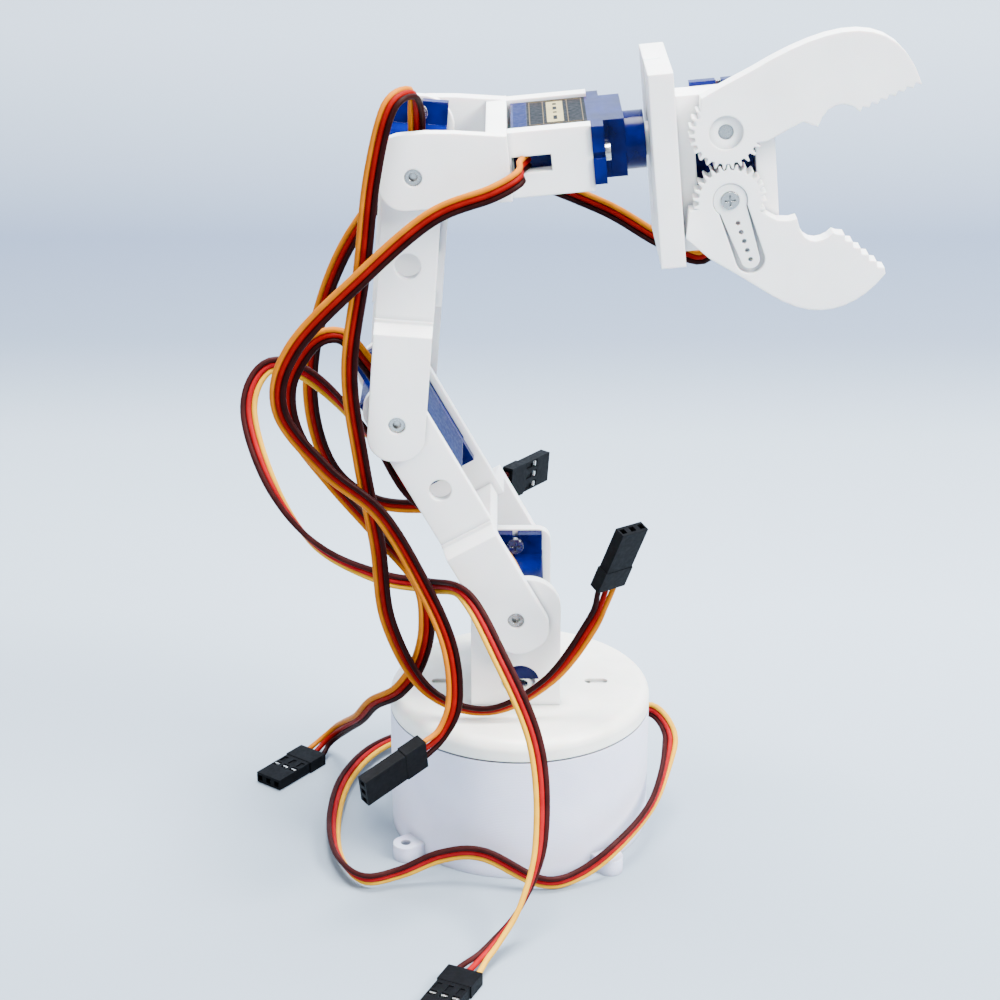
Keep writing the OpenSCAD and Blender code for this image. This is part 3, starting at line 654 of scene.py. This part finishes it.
def make_label(name):
    """A sticker on a servo's two wide sides: plain on one, a framed panel on the other."""
    shape = bmesh.new()

    def patch(low, high, ink):
        block(shape, low, high)
        shape.faces.ensure_lookup_table()
        for face in shape.faces[-6:]:
            face.material_index = ink

    wide = CASE_HALF
    left, right = LABEL_X
    bottom, top = LABEL_Z
    patch((left, -wide - 0.06, bottom), (right, -wide - 0.005, top), BLUE_INK)
    patch((left, wide + 0.005, bottom), (right, wide + 0.06, 3.2), BLUE_INK)
    patch((left, wide + 0.005, 3.3), (right, wide + 0.06, top), DARK_INK)
    low, high = wide + 0.055, wide + 0.075
    for z in FRAME_Z:
        patch((FRAME_X[0], low, z), (15.7, high, z + FRAME_LINE), GOLD_INK)
    for x in FRAME_X:
        patch((x, low, FRAME_Z[0]), (x + FRAME_LINE, high, 14.76), GOLD_INK)
    patch((-3.6, low, 7.4), (14.6, high, 10.8), CREAM_INK)
    for x, length in BARS:
        patch((x, high - 0.005, 8.7), (x + length, high + 0.012, 9.5), DARK_INK)
    shape.transform(Matrix.Scale(MM, 4) @ servo_place(name))
    made = to_object(f"{name}_servo_label", shape, LABEL[0])
    for ink in LABEL[1:]:
        made.data.materials.append(ink)
    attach(made, SERVO_BODY[name])


# Stage ------------------------------------------------------------------------------------------
FLOOR_BACK = 0.30
CURVE_R = 0.22
WALL_TOP = 1.6
FLOOR_FRONT = -2.5
STAGE_HALF = 2.5
CURVE_STEPS = 16
# The sheet's painted light and shade from SWEEP_FROM to SWEEP_TO, in metres along the floor and up
# the wall: lighter and darker bands, darkest in the lower part of the curve
SWEEP_FROM = -0.3
SWEEP_TO = 0.9
SWEEP_LIGHT_AND_SHADE = [(0.0, "7d8c9a"), (0.20, "818f9d"), (0.34, "96a4b2"), (0.45, "8c9aa8"),
               (0.53, "66758a"), (0.60, "586881"), (0.72, "8d9bab"), (1.0, "a8b4c1")]
WORLD_COLOUR = (0.86, 0.92, 1.0, 1)
WORLD_STRENGTH = 0.8
LIT_POINT = (0, 0, 0.1)
# Name, place, size, power and colour of each light
LIGHTS = [("key", (0.75, -0.4, 0.8), 0.5, 44.0, (1.0, 0.99, 0.97)),
          ("fill", (-0.5, -0.8, 0.5), 0.8, 8.0, (0.95, 0.97, 1.0)),
          ("top", (0.1, 0.05, 1.15), 0.6, 62.0, (1, 1, 1))]


def make_stage():
    """A pale sweep: flat floor, a soft curve and a wall, one smooth sheet, with painted light and
    shade in bands along it.
    """
    profile = [(FLOOR_FRONT, 0.0), (-1.0, 0.0), (0.0, 0.0), (FLOOR_BACK, 0.0)]
    for k in range(1, CURVE_STEPS + 1):
        a = math.radians(90 * k / CURVE_STEPS)
        profile.append((FLOOR_BACK + CURVE_R * math.sin(a), CURVE_R * (1 - math.cos(a))))
    profile.append((FLOOR_BACK + CURVE_R, WALL_TOP))
    shape = bmesh.new()
    rows = [[shape.verts.new((x, y, z)) for x in (-STAGE_HALF, STAGE_HALF)] for y, z in profile]
    for a, b in zip(rows, rows[1:]):
        shape.faces.new((a[0], a[1], b[1], b[0])).smooth = True
    paint = Paint("sweep_paper", Roughness=0.75)
    # The ramp paints light and shade along the sheet, by distance along the floor and up the wall.
    ramp = paint.node("ShaderNodeValToRGB")
    while len(ramp.color_ramp.elements) < len(SWEEP_LIGHT_AND_SHADE):
        ramp.color_ramp.elements.new(0.5)
    for element, (position, colour) in zip(ramp.color_ramp.elements, SWEEP_LIGHT_AND_SHADE):
        element.position = position
        element.color = rgb(colour)
    coordinates = paint.node("ShaderNodeTexCoord")
    split = paint.node("ShaderNodeSeparateXYZ")
    paint.link(coordinates.outputs["Object"], split.inputs["Vector"])
    total = paint.node("ShaderNodeMath", operation="ADD")
    paint.link(split.outputs["Y"], total.inputs[0])
    paint.link(split.outputs["Z"], total.inputs[1])
    span = paint.node("ShaderNodeMapRange")
    span.inputs["From Min"].default_value = SWEEP_FROM
    span.inputs["From Max"].default_value = SWEEP_TO
    paint.link(total.outputs["Value"], span.inputs["Value"])
    paint.link(span.outputs["Result"], ramp.inputs["Fac"])
    paint.feed("Base Color", ramp.outputs["Color"])
    floor = to_object("sweep", shape, paint.material)


def area_light(name, at, size, power, colour):
    data = bpy.data.lights.new(name, "AREA")
    data.shape = "DISK"
    data.size = size
    data.energy = power
    data.color = colour
    light = bpy.data.objects.new(name, data)
    light.location = at
    light.rotation_euler = (Vector(LIT_POINT) - Vector(at)).to_track_quat("-Z", "Y").to_euler()
    bpy.context.scene.collection.objects.link(light)


def make_lights():
    world = bpy.data.worlds.new("world")
    world.use_nodes = True
    background = world.node_tree.nodes["Background"]
    background.inputs["Color"].default_value = WORLD_COLOUR
    background.inputs["Strength"].default_value = WORLD_STRENGTH
    bpy.context.scene.world = world
    for facts in LIGHTS:
        area_light(*facts)


make_camera()
make_leads()
for servo in SERVO_BODY:
    make_label(servo)
paint_cad()
make_stage()
make_lights()
